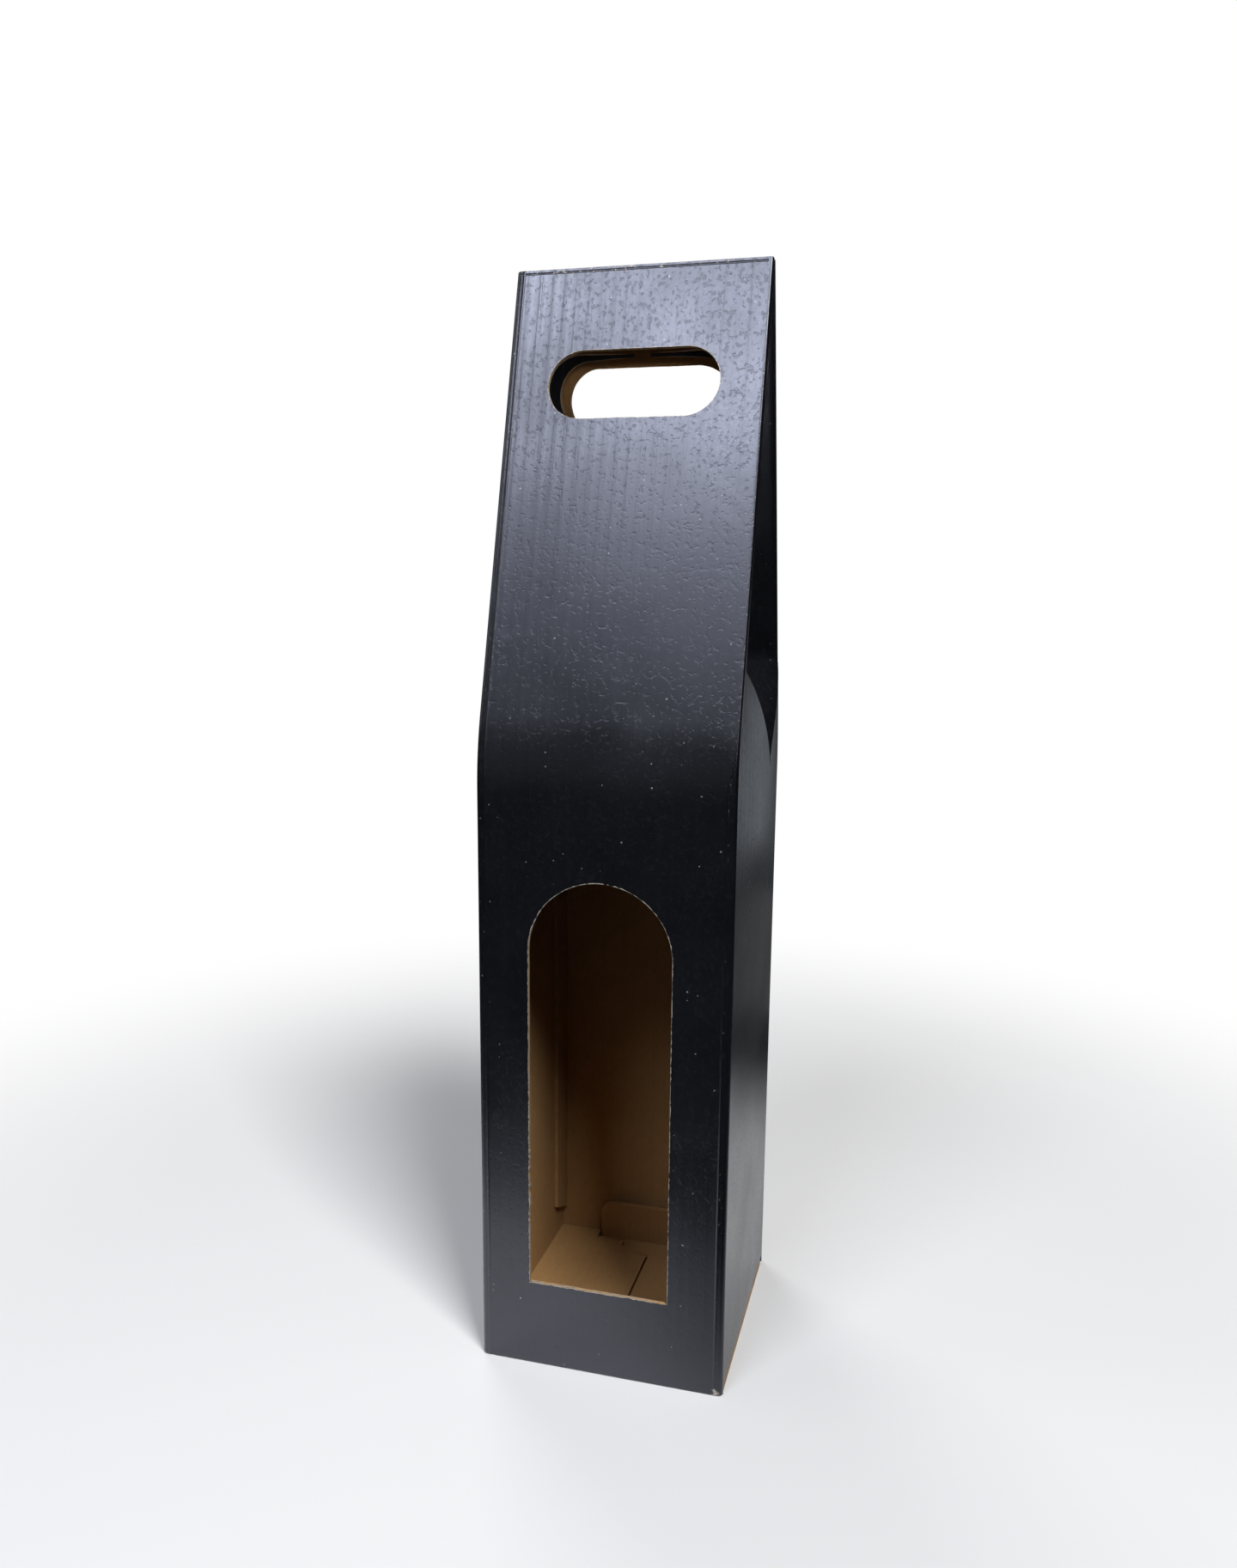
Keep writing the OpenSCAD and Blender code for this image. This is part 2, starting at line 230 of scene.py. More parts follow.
class Folding:
    """Where the boards lie once the blank is folded."""

    def __init__(self, sizes):
        self.s = sizes
        self.half_w = sizes.box_w / 2
        self.half_d = sizes.box_d / 2
        self.t = sizes.board_t
        self.rise = sizes.box_h - sizes.shoulder
        self.lean = math.atan2(self.half_d - sizes.ridge_w / 2, self.rise)
        self.slope = self.rise / math.cos(self.lean)
        self.bend_r = sizes.bend_l / self.lean
        self.tangent = self.bend_r * math.tan(self.lean / 2)
        self.bend_z = sizes.shoulder - self.tangent
        self.bend_end = self.bend_z + sizes.bend_l
        self.board_end = self.bend_end + self.slope - self.tangent
        self.slot_up = self.slope - sizes.slot_down
        self.slot_z = sizes.shoulder + self.slot_up * math.cos(self.lean)
        self.slot_v = self.bend_end + self.slot_up - self.tangent
        self.inner_d = self.half_d - self.t
        self.corner_u = self.half_w - sizes.corner_w
        self.corner_l = QUARTER * math.hypot(sizes.corner_w, self.t) / math.sqrt(2)
        self.relief = self.corner_u - 4 * BEAD_W

    def lean_at(self, v):
        """Lean of the board, a length v up it."""
        return self.lean * limit((v - self.bend_z) / self.s.bend_l)

    def board_path(self, v):
        """Half depth and height of the printed face, a length v up the front board."""
        if v <= self.bend_z:
            return self.half_d, v
        a = self.lean_at(v)
        past = max(0, v - self.bend_end)
        return (
            self.half_d - self.bend_r * (1 - math.cos(a)) - past * math.sin(a),
            self.bend_z + self.bend_r * math.sin(a) + past * math.cos(a),
        )

    def half_depth(self, z, inset=0):
        """Half depth of the box at a height, a distance inside the printed face."""
        if z <= self.bend_z:
            return self.half_d - inset
        radius = self.bend_r - inset
        turn_z = self.bend_z + radius * math.sin(self.lean)
        if z < turn_z:
            a = math.asin((z - self.bend_z) / radius)
            return self.half_d - self.bend_r + radius * math.cos(a)
        turn_d = self.half_d - self.bend_r + radius * math.cos(self.lean)
        return turn_d - (z - turn_z) * math.tan(self.lean)

    def inner_half(self, z):
        return self.half_depth(z, self.t)

    def wall_bulge(self, u, z):
        """How far a side wall stands out, u from -1 at its front edge to 1 at its rear edge."""
        s = self.s
        return s.bulge * smooth((z - s.bulge_from) / (s.vee_low - s.bulge_from)) * (1 - u * u)

    def vee_u(self, z):
        """Place of the V crease at a height, as a share of the half depth."""
        s = self.s
        return limit((z - s.vee_low) / (s.vee_high - s.vee_low)) ** s.vee_bow

    def vee_z(self, u):
        s = self.s
        return blend(s.vee_low, s.vee_high, min(1, abs(u)) ** (1 / s.vee_bow))

    def fold_start(self, z):
        """Where a folded-in half leaves the wall or the back board."""
        u = self.vee_u(z)
        return Vector((self.half_w - self.t + self.wall_bulge(u, z), u * self.inner_half(z), z))

    def fold_width(self, z):
        slack = self.s.fold_slack * limit((z - self.s.shoulder) / self.rise)
        return self.fold_start(z).y + self.inner_d - self.inner_half(z) - slack

    def fold_depth(self, z):
        return math.sqrt(max(0, self.fold_width(z) ** 2 - self.fold_start(z).y ** 2))

    def fold_kraft(self, part, z):
        """Kraft face of the right rear folded-in half: part runs from its outer fold to its middle crease."""
        start = self.fold_start(z)
        return Vector((start.x - part * self.fold_depth(z), blend(start.y, self.s.crease_gap / 2, part), z))

    def fold_normal(self, part, z):
        """Direction from the kraft face to the printed face, straight out at the outer fold."""
        probe, turned_by = 0.0005, 0.05
        up = self.fold_kraft(part, z + probe) - self.fold_kraft(part, z - probe)
        across = Vector((-self.fold_depth(z), -self.fold_start(z).y, 0))
        turned = up.cross(across).normalized()
        return X.lerp(turned, smooth(part / turned_by)).normalized()

    def fold_print(self, part, z):
        p = self.fold_kraft(part, z) + self.t * self.fold_normal(part, z)
        p.y = max(self.s.crease_gap / 2, p.y)
        return p


def blend(a, b, f):
    return a + (b - a) * f


def limit(f):
    return min(1.0, max(0.0, f))


def smooth(f):
    f = limit(f)
    return f * f * (3 - 2 * f)


def steps(start, end, count):
    """Evenly spaced values, both ends included."""
    return [blend(start, end, i / count) for i in range(count + 1)]


def every(start, end, pitch):
    """Evenly spaced values, about a pitch apart."""
    return steps(start, end, max(1, round(abs(end - start) / pitch)))


def arc(u, v, r, start, end, count):
    """Points on an arc, with its angles in degrees."""
    return [
        (u + r * math.cos(math.radians(a)), v + r * math.sin(math.radians(a)))
        for a in steps(start, end, count)
    ]


def dense(points, pitch):
    """The open line through some points, with more points on its long stretches."""
    out = []
    for a, b in zip(points, points[1:]):
        count = max(1, round(math.dist(a, b) / pitch))
        out += [(blend(a[0], b[0], i / count), blend(a[1], b[1], i / count)) for i in range(count)]
    return out + points[-1:]


def along(points, pitch):
    """The closed outline through some points, with more points on its long edges."""
    return dense(points + points[:1], pitch)[:-1]


def spot(u, v, waves, seed):
    """Place in a noise that waves so many times in a metre."""
    return Vector((u * waves, v * waves, seed))


def frayed(points, amount, seed, torn=None):
    """The outline as a worn die cuts it: small wandering, a few deeper nicks and, if asked, torn places."""
    noise.seed_set(FRAY_SEED)
    out = []
    for u, v in points:
        fine = noise.noise_vector(spot(u, v, 900, seed))
        wide = noise.noise_vector(spot(u, v, 160, seed + 7))
        nick = max(0, noise.noise(spot(u, v, 420, seed + 3)) - 0.35) * 2.2
        here = amount * (torn(u, v) if torn else 1)
        out.append((
            u + here * (0.45 * fine.x + 0.55 * wide.x + nick * fine.y),
            v + here * (0.45 * fine.y + 0.55 * wide.y + nick * fine.x),
        ))
    return out


def widened(points, by):
    """A closed outline that runs a distance outside another one."""
    out = []
    for before, (u, v), after in zip(points[-1:] + points[:-1], points, points[1:] + points[:1]):
        along_u, along_v = after[0] - before[0], after[1] - before[1]
        run = math.hypot(along_u, along_v)
        out.append((u + by * along_v / run, v - by * along_u / run))
    return out


def cut_hole(points, sizes, seed, torn=None):
    """The cut outline of a hole and the line where its worn rim ends."""
    return frayed(points, sizes.fray, seed, torn), widened(points, sizes.rim_w)


def flat_board(outline, holes=(), columns=(), rows=()):
    """Flat board in the blank's plane, filled round its holes and cut into strips for folding."""
    bm = bmesh.new()
    through, rub = (bm.verts.layers.float.new(layer) for layer in ("through", "rub"))
    bm.loops.layers.uv.new("blank")
    loops = [[bm.verts.new((u, v, 0)) for u, v in loop] for loop in (outline, *(rim for _, rim in holes))]
    for corners in loops:
        for a, b in zip(corners, corners[1:] + corners[:1]):
            bm.edges.new((a, b))
    bmesh.ops.triangle_fill(bm, edges=bm.edges[:], use_beauty=True)
    for (cut, _), rim in zip(holes, loops[1:]):
        lip = [bm.verts.new((u, v, 0)) for u, v in cut]
        for i, vert in enumerate(lip):
            vert[rub] = 1.0
            bm.faces.new((lip[i - 1], vert, rim[i], rim[i - 1]))
    for axis, places in ((X, columns), (Y, rows)):
        for place in places:
            geom = bm.verts[:] + bm.edges[:] + bm.faces[:]
            bmesh.ops.bisect_plane(bm, geom=geom, dist=SNAP, plane_co=axis * place, plane_no=axis)
    if not bm.faces:
        raise RuntimeError("an outline has no area")
    return bm


def nowhere(u, v):
    return 0.0


def everywhere(u, v):
    return 1.0


def placed(name, data):
    """A new object in the scene."""
    made = bpy.data.objects.new(name, data)
    bpy.context.scene.collection.objects.link(made)
    return made


def placed_mesh(name, bm, materials):
    """A new object with the bmesh's shape."""
    mesh = bpy.data.meshes.new(name)
    bm.to_mesh(mesh)
    bm.free()
    for material in materials:
        mesh.materials.append(material)
    return placed(name, mesh)


def fold_board(name, bm, place, folded=nowhere, rub=nowhere, rim=CUT):
    """Gives a flat board its thickness and folds it.

    place(u, v, inner) gives the folded place of a point of the blank on its printed or its kraft face.
    folded(u, v) says where the rim is a fold and not a cut edge, and rub(u, v) how worn the print is.
    rim is the finish of the cut edges: deep inside the box they take the darker kraft finish, painted shade
    in place of the paler cut edge.
    """
    made = bmesh.ops.extrude_face_region(bm, geom=bm.faces[:])["geom"]
    outside = {item for item in made if isinstance(item, bmesh.types.BMVert)}
    through, rubbed = bm.verts.layers.float["through"], bm.verts.layers.float["rub"]
    blank = bm.loops.layers.uv["blank"]
    for face in bm.faces:
        for loop in face.loops:
            loop[blank].uv = loop.vert.co.xy
        middle = face.calc_center_median()
        count = sum(vert in outside for vert in face.verts)
        face.smooth = count in (0, len(face.verts))
        face.material_index = PRINT if count else KRAFT
        if not face.smooth:
            face.material_index = PRINT if folded(middle.x, middle.y) else rim
    for vert in bm.verts:
        u, v, _ = vert.co
        vert[through] = 0.0 if vert in outside else 1.0
        vert[rubbed] = max(vert[rubbed], rub(u, v))
        vert.co = place(u, v, vert not in outside)
    for edge in bm.edges:
        edge.smooth = len({(face.smooth, face.material_index) for face in edge.link_faces}) == 1
    bmesh.ops.recalc_face_normals(bm, faces=bm.faces[:])
    if any(not edge.is_manifold for edge in bm.edges):
        raise RuntimeError(f"{name} isn't closed")
    if bm.calc_volume(signed=True) < 0:
        bmesh.ops.reverse_faces(bm, faces=bm.faces[:])
    piece = placed_mesh(name, bm, [bpy.data.materials[finish] for finish in FINISHES])
    return piece


def stands_for(piece, body, *nodes):
    """The piece rides on its body in place of CAD nodes."""
    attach(piece, body)
    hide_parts(*nodes)


def crease_point(corner, wall, flap, r, reach, v):
    """Point of a rounded fold, v from -1 at its end on the wall to 1 at its end on the flap."""
    if abs(v) > 0.5:
        leg = wall if v < 0 else flap
        return corner + leg * blend(r, reach, 2 * abs(v) - 1)
    f = v + 0.5
    return corner + wall * (r * (1 - f) ** 2) + flap * (r * f ** 2)


def hinged_crease(name, sizes, corner, wall, flap, axis, span, r, bodies):
    """The strip of board that bends between two bodies, along an axis and round an outer corner."""
    reach = sizes.fold_reach
    angle = wall.angle(flap)
    inner_corner = corner + (wall + flap) * (sizes.board_t / math.sin(angle))
    inner_reach = reach - sizes.board_t * (1 + math.cos(angle)) / math.sin(angle)
    start, end = span
    outline = along([(start, -reach), (end, -reach), (end, reach), (start, reach)], 0.004)
    legs_and_turn = steps(-1, -0.5, 3)[1:] + steps(-0.5, 0.5, 10)[1:] + steps(0.5, 1, 3)[1:-1]
    bm = flat_board(outline, (), every(start, end, 0.008)[1:-1], [v * reach for v in legs_and_turn])

    def place(u, v, inner):
        v = v / reach
        if inner:
            p = crease_point(inner_corner, wall, flap, FOLD_R, inner_reach, v)
        else:
            p = crease_point(corner, wall, flap, r, reach, v)
        return p + axis * u

    piece = fold_board(name, bm, place, everywhere)
    start, end = (tuple(corner + leg * sizes.fold_turn) for leg in (wall, flap))
    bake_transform(piece, *bodies, start=start, end=end)


class Nodes:
    """Lays and joins the nodes of one material or world."""

    def __init__(self, owner, empty=True):
        owner.use_nodes = True
        self.tree = owner.node_tree
        if empty:
            self.tree.nodes.clear()

    def add(self, kind, inputs=None, **settings):
        node = self.tree.nodes.new(kind)
        for key, value in settings.items():
            setattr(node, key, value)
        for key, value in (inputs or {}).items():
            self.join(value, node.inputs[key])
        return node

    def join(self, value, socket):
        if isinstance(value, bpy.types.NodeSocket):
            self.tree.links.new(value, socket)
        else:
            socket.default_value = value

    def math(self, operation, a, b=0.0, c=0.0):
        return self.add("ShaderNodeMath", {0: a, 1: b, 2: c}, operation=operation).outputs[0]

    def spread(self, value, low, high, to_low=0.0, to_high=1.0):
        inputs = {"Value": value, "From Min": low, "From Max": high, "To Min": to_low, "To Max": to_high}
        return self.add("ShaderNodeMapRange", inputs, interpolation_type="SMOOTHSTEP").outputs["Result"]

    def either(self, amount, a, b):
        """Shader a where the amount is 0 and shader b where it is 1."""
        return self.add("ShaderNodeMixShader", {0: amount, 1: a, 2: b}).outputs[0]

    def show(self, kind, unseen, seen):
        """Ends the tree with one shader for the camera and one for all other rays."""
        camera_ray = self.add("ShaderNodeLightPath").outputs["Is Camera Ray"]
        self.add(kind, {"Surface": self.either(camera_ray, unseen, seen)})


class Finish(Nodes):
    """Nodes of one finish of the board."""

    def __init__(self, name):
        super().__init__(bpy.data.materials.new(name), empty=False)
        self.shader = self.tree.nodes["Principled BSDF"]
        self.place = self.add("ShaderNodeTexCoord").outputs["Object"]
        split = self.add("ShaderNodeSeparateXYZ", {"Vector": self.blank()})
        self.across, self.up = split.outputs["X"], split.outputs["Y"]

    def blank(self):
        """Place on the unfolded blank."""
        return self.add("ShaderNodeUVMap", uv_map="blank").outputs["UV"]

    def attribute(self, name):
        """A value that the board's own mesh carries."""
        return self.add("ShaderNodeAttribute", attribute_name=name).outputs["Fac"]

    def noise(self, vector, scale, detail=4.0, roughness=0.55):
        inputs = {"Vector": vector, "Scale": scale, "Detail": detail, "Roughness": roughness}
        return self.add("ShaderNodeTexNoise", inputs).outputs["Fac"]

    def stretched(self, across, up):
        """Place on the blank, with its own scale across and along the flutes."""
        return self.add("ShaderNodeMapping", {"Vector": self.blank(), "Scale": (across, up, 1)}).outputs[0]

    def mix(self, amount, a, b):
        node = self.add("ShaderNodeMix", {0: amount}, data_type="RGBA")
        for socket, value in ((node.inputs[6], a), (node.inputs[7], b)):
            self.join(value if isinstance(value, bpy.types.NodeSocket) else (*value, 1), socket)
        return node.outputs[2]

    def flute_wave(self, pitch):
        """Sine from -1 to 1 with one turn for each flute."""
        return self.math("SINE", self.math("MULTIPLY", self.across, 2 * math.pi / pitch))

    def bumps(self, *layers):
        """Adds bump layers, each a height from 0 to 1 and its depth in metres."""
        normal = None
        for height, depth in layers:
            inputs = {"Height": height, "Distance": depth, "Strength": 1.0}
            if normal:
                inputs["Normal"] = normal
            normal = self.add("ShaderNodeBump", inputs).outputs["Normal"]
        self.join(normal, self.shader.inputs["Normal"])

    def set(self, **sockets):
        for key, value in sockets.items():
            self.join(value, self.shader.inputs[key.replace("_", " ")])


def satin_print(sizes, colours):
    """Blue-black print with the flutes showing through, a mottled grain, dust and small scratches."""
    m = Finish("satin_print")
    streak = m.noise(m.stretched(420, 9), 1.0, 3)
    even = m.spread(m.flute_wave(sizes.flute), -1, 1)
    flutes = m.math("MULTIPLY", even, m.spread(streak, 0.25, 0.7, 0.3, 1.0))
    ribs = m.math("MULTIPLY", flutes, m.spread(m.up, 0.28, 0.34, 0.35, 1.0))
    grain = m.noise(m.place, 950, 4, 0.6)
    mottle = m.noise(m.place, 240, 4, 0.6)
    cloud = m.noise(m.place, 22, 3)
    pale = m.math("ADD", m.spread(mottle, 0.45, 0.85, 0.0, 0.4), m.spread(flutes, 0.5, 1.0, 0.0, 0.3))
    base = m.mix(pale, colours.ink, colours.ink_pale)
    worn = m.math("ADD", m.attribute("rub"), m.spread(m.noise(m.place, 600, 5, 0.7), 0.3, 0.7, -0.45, 0.45))
    torn = m.spread(worn, 0.55, 0.8)
    cells = m.add("ShaderNodeTexVoronoi", {"Vector": m.place, "Scale": 300.0}, feature="F1")
    size = m.add("ShaderNodeSeparateColor", {"Color": cells.outputs["Color"]}).outputs["Red"]
    near = m.math("LESS_THAN", cells.outputs["Distance"], m.spread(size, 0.55, 1.0, 0.0, 0.10))
    dusty = m.math("MULTIPLY", near, m.spread(cloud, 0.40, 0.60, 0.40, 0.9))
    pits = m.spread(m.noise(m.place, 620, 3, 0.6), 0.54, 0.66)
    rough = m.spread(cloud, 0.3, 0.7, colours.gloss - 0.03, colours.gloss + 0.04)
    for mask, more in ((m.spread(grain, 0.3, 0.7, -0.5, 0.5), 0.03), (pits, 0.05), (torn, 0.4)):
        rough = m.math("MULTIPLY_ADD", mask, more, rough)
    m.set(Base_Color=m.mix(torn, m.mix(dusty, base, colours.dust), colours.torn), Roughness=rough)
    m.set(IOR=1.95, Specular_Tint=(*colours.sheen, 1))
    m.bumps((ribs, 0.00005), (streak, 0.000018), (mottle, 0.000012), (grain, 0.000006), (pits, -0.000022))


def kraft_liner(sizes, colours):
    """Bare kraft liner with long fibres, flecks and faint flutes."""
    m = Finish("kraft_liner")
    flutes = m.flute_wave(sizes.flute)
    fibre = m.noise(m.stretched(1500, 260), 1.0, 6, 0.65)
    fleck = m.noise(m.stretched(700, 420), 1.0, 2)
    cloud = m.noise(m.place, 45, 4)
    dark = m.math("ADD", m.spread(fibre, 0.42, 0.8, 0.0, 0.45), m.spread(fleck, 0.66, 0.76, 0.0, 0.4))
    shade = m.math("ADD", dark, m.spread(cloud, 0.3, 0.7, 0.0, 0.18))
    stripes = m.math("ADD", shade, m.spread(flutes, 0.2, 1.0, 0.0, 0.07))
    m.set(Base_Color=m.mix(stripes, colours.kraft, colours.kraft_dark), Roughness=0.82)
    m.bumps((m.spread(flutes, -1, 1), 0.00002), (fibre, 0.00002))


def cut_edge(sizes, colours):
    """Die-cut edge: two liners with the wavy medium between them, and painted shade, a darker copy of the
    kraft, in the hollows between the flutes.
    """
    m = Finish("cut_edge")
    depth = m.attribute("through")
    wander = m.noise(m.stretched(300, 300), 1.0, 3)
    middle = m.math("MULTIPLY_ADD", m.flute_wave(sizes.flute), 0.3, 0.5)
    off = m.math("ABSOLUTE", m.math("SUBTRACT", depth, middle))
    medium = m.spread(off, 0.10, 0.24, 1.0, 0.0)
    liner = m.spread(m.math("ABSOLUTE", m.math("SUBTRACT", depth, 0.5)), 0.30, 0.36)
    paper = m.math("MAXIMUM", m.math("MAXIMUM", medium, liner), m.spread(wander, 0.35, 0.6, 0.35, 1.0))
    tint = m.mix(m.spread(wander, 0.3, 0.75), colours.raw, colours.kraft)
    # Painted shade where no paper shows: the hollows between the flutes take the dark flute hollow colour
    m.set(Base_Color=m.mix(paper, colours.gap, tint), Roughness=0.9)
    m.bumps((paper, 0.00015), (m.noise(m.place, 2500, 4), 0.00006))


def window_outline(s):
    """The arched window, torn along a stretch of its left edge."""
    r = s.window_w / 2
    left, right = s.window_shift - r, s.window_shift + r
    shape = [(left, s.window_low), (right, s.window_low)]
    shape += arc(s.window_shift, s.window_top - r, r, 0, 180, 60)

    def torn(u, v):
        ragged = u < left + s.fray and s.ragged_low < v < s.ragged_high
        return 5.0 if ragged else 1.5 if v < s.window_low + s.fray else 1.0

    return cut_hole(along(shape, 0.0007), s, 5, torn)


def upright_board(folding, side):
    """Front board (side -1) or back board (side 1), with its slot and, in front, its window."""
    f, s = folding, folding.s
    turned = f.corner_u + f.corner_l
    edge = turned + LIP
    front = side < 0
    slot_v = f.slot_v - (0 if front else s.slot_back_drop)
    run = (s.slot_l - s.slot_h) / 2
    slot = arc(run, slot_v, s.slot_h / 2, -90, 90, 30) + arc(-run, slot_v, s.slot_h / 2, 90, 270, 30)
    holes = [cut_hole(along(slot, 0.0012), s, 20 + side)]
    foot = [(-edge, 0), (edge, 0)]
    if front:
        holes.append(window_outline(s))
        foot[1:1] = [(-f.relief, 0), (-f.relief, s.fold_reach), (f.relief, s.fold_reach), (f.relief, 0)]
    corner = steps(f.corner_u - BEAD_W * 3, f.corner_u, 9) + steps(f.corner_u, turned, 8)[1:]
    columns = [-c for c in corner] + every(-f.corner_u, f.corner_u, 0.008)[1:-1] + corner
    rows = steps(0, f.t, 4)[1:] + every(0, f.bend_z, 0.009) + every(f.bend_z, f.bend_end, 0.0025)
    rows += every(f.bend_end, f.board_end, 0.009)
    outline = along(foot + [(edge, f.board_end), (-edge, f.board_end)], 0.004)
    bm = flat_board(outline, holes, sorted(set(columns)), sorted(set(rows)))

    def place(u, v, inner):
        turn = QUARTER * limit((abs(u) - f.corner_u) / f.corner_l)
        past = max(0, abs(u) - f.corner_u - f.corner_l)
        tight = smooth((v - f.bend_z) / s.bend_l) if u > 0 else 0
        corner_w = blend(s.corner_w, s.slope_corner_w, tight)
        beside = limit((abs(u) - f.relief) / (f.corner_u - f.relief))
        round_w = max(corner_w, f.t + CORE_R) if inner else corner_w
        x = blend(min(abs(u), f.relief), f.half_w - round_w, beside)
        if inner:
            x += max(CORE_R, corner_w - f.t + CORE_R) * math.sin(turn)
            depth = f.t - CORE_R * 0.5 * (math.cos(turn) - 1) + past
        else:
            x += corner_w * math.sin(turn)
            bead = (1 - tight) * math.exp(-(((abs(u) - f.corner_u) / BEAD_W + 1) ** 2))
            depth = max(f.t * (1 - math.cos(turn)), s.bead * (1 - bead)) + past
        flat = 1 - smooth((abs(u) - f.corner_u + WARP_MARGIN) / WARP_FADE)
        ends = smooth((v - s.fold_reach) / WARP_ENDS) * smooth((f.board_end - v) / WARP_ENDS)
        wander = 0.5 + 0.5 * noise.noise(Vector((u * 14, v * 9, 4.0 + side)))
        depth += s.warp * flat * ends * wander
        half, z = f.board_path(v)
        a = f.lean_at(v)
        if front and v < s.crease_r and not inner:
            half -= s.crease_r * (1 - math.sqrt(1 - (1 - max(0, v) / s.crease_r) ** 2))
        y = half - depth * math.cos(a)
        return Vector((math.copysign(x, u), side * y, z - depth * math.sin(a)))

    def folded(u, v):
        return abs(u) > turned or v > f.board_end - SNAP or front and v <= s.fold_reach + SNAP

    def rub(u, v):
        crest = CREST_RUB * math.exp(-(((abs(u) - f.corner_u) / BEAD_W) ** 2))
        scuff = SCUFF_RUB * math.exp(-(math.dist((u, v), (f.corner_u, 0)) / SCUFF_R) ** 2) if front else 0
        return max(crest, scuff, TOP_RUB * smooth((v - f.board_end) / TOP_WEAR + 1))

    return bm, place, folded, rub


def side_board(folding, side):
    """Left (side -1) or right (side 1) wall up to its V crease."""
    f, s = folding, folding.s
    low = CAD["floor_z"]
    hinge_z = low + s.fold_reach

    def half(z):
        return f.half_depth(z, f.t + LIP)

    edge = every(hinge_z, f.bend_z, 0.008) + every(f.bend_z, s.vee_high, 0.0025)[1:]
    vee = []
    for u in steps(1, -1, 60):
        z = f.vee_z(u)
        vee.append((math.copysign(min(abs(u) * f.inner_half(z), half(z)), u), z))
    outline = [(-half(low), low), (CAD["dust_front"], low)]
    outline += dense([(CAD["dust_front"], hinge_z), (half(low), hinge_z)], 0.004)[:-1]
    outline += [(half(z), z) for z in edge[:-1]] + vee + [(-half(z), z) for z in reversed(edge[:-1])]
    rows = every(hinge_z, s.bulge_from, 0.01)[1:] + every(s.bulge_from, s.vee_high, 0.0035)[1:-1]
    bm = flat_board(outline, (), every(-f.inner_d, f.inner_d, 0.0035)[1:-1], rows)

    def place(y, z, inner):
        x = f.half_w + f.wall_bulge(y / half(z), z) - (f.t if inner else 0)
        return Vector((side * x, y, z))

    return bm, place, everywhere


def folded_half(folding, side, rear):
    """One half of a folded-in side, with its share of the hand slot."""
    f, s = folding, folding.s
    tip, top, reach = CAD["fold_low"], CAD["fold_top"], f.inner_d

    def at(x, z):
        """Share of the way from the middle crease to the outer fold."""
        return 1 - (f.half_w - f.t - x) / f.fold_depth(z)

    r = s.slot_h / 2 * math.cos(f.lean)
    run = (s.slot_l - s.slot_h) / 2 + s.slot_room
    drop = s.slot_back_drop / 2 if rear > 0 else 0
    notch = [(at(x, z) * reach, z - drop) for x, z in arc(run, f.slot_z, r, 90, -90, 30)]
    notch = [(0.0, notch[0][1])] + notch + [(0.0, notch[-1][1])]
    cut = frayed(dense(notch, 0.0012)[1:-1], s.fray, 40 + side + rear)
    vee = [(f.vee_u(z) * reach, z) for z in steps(tip, s.vee_high, 24)]
    outline = [(0.0, tip)] + vee
    outline += dense([(reach, s.vee_high), (reach, top), (0.0, top), notch[0]], 0.005)[1:]
    outline += cut + dense([notch[-1], (0.0, tip)], 0.005)[:-1]
    rows = every(tip, s.vee_high, 0.002)[1:] + every(s.vee_high, top, 0.005)[1:-1]
    beside_fold = (0.008, 0.016, 0.025, 0.035, 0.05)
    columns = every(0, reach, 0.004)[1:-1] + [reach * (1 - share) for share in beside_fold]
    bm = flat_board(outline, (), sorted(columns), rows)

    def place(b, z, inner):
        u = f.vee_u(z)
        part = limit(1 - b / (u * reach)) if u > 0 else 1
        p = f.fold_kraft(part, z) if inner else f.fold_print(part, z)
        return Vector((side * p.x, rear * p.y, p.z))

    def folded(b, z):
        return b < SNAP or b > reach - SNAP or z < s.vee_high

    return bm, place, folded


class BOX_OT_materials(bpy.types.Operator):
    """Makes the print, the kraft liner and the cut edge"""

    bl_idname = "winebox.materials"
    bl_label = "Make the Finishes"

    def execute(self, context):
        scene = context.scene
        for make in (satin_print, kraft_liner, cut_edge):
            make(scene.box_sizes, scene.box_colours)
        return {"FINISHED"}


class BOX_OT_upright_boards(bpy.types.Operator):
    """Folds the front and back boards, with the window and the hand slot"""

    bl_idname = "winebox.upright_boards"
    bl_label = "Front and Back"

    def execute(self, context):
        f = Folding(context.scene.box_sizes)
        for name, side in (("front", -1), ("back", 1)):
            bm, place, folded, rub = upright_board(f, side)
            piece = fold_board(f"{name}_board", bm, place, folded, rub)
            stands_for(piece, "box", f"{name}_wall", f"{name}_upper")
        return {"FINISHED"}


class BOX_OT_side_boards(bpy.types.Operator):
    """Folds the two side walls with their bulge below the V crease"""

    bl_idname = "winebox.side_boards"
    bl_label = "Side Walls"

    def execute(self, context):
        f = Folding(context.scene.box_sizes)
        for name, side in (("left", -1), ("right", 1)):
            bm, place, folded = side_board(f, side)
            piece = fold_board(f"{name}_side_board", bm, place, folded)
            stands_for(piece, "box", f"{name}_wall")
        return {"FINISHED"}


class BOX_OT_folded_sides(bpy.types.Operator):
    """Folds the four halves of the sides that turn in under the slope"""

    bl_idname = "winebox.folded_sides"
    bl_label = "Folded-in Sides"

    def execute(self, context):
        f = Folding(context.scene.box_sizes)
        for x_name, side in (("left", -1), ("right", 1)):
            for y_name, rear in (("front", -1), ("rear", 1)):
                bm, place, folded = folded_half(f, side, rear)
                piece = fold_board(f"{x_name}_fold_{y_name}", bm, place, folded)
                stands_for(piece, "box", f"{x_name}_gusset_{y_name}")
        return {"FINISHED"}


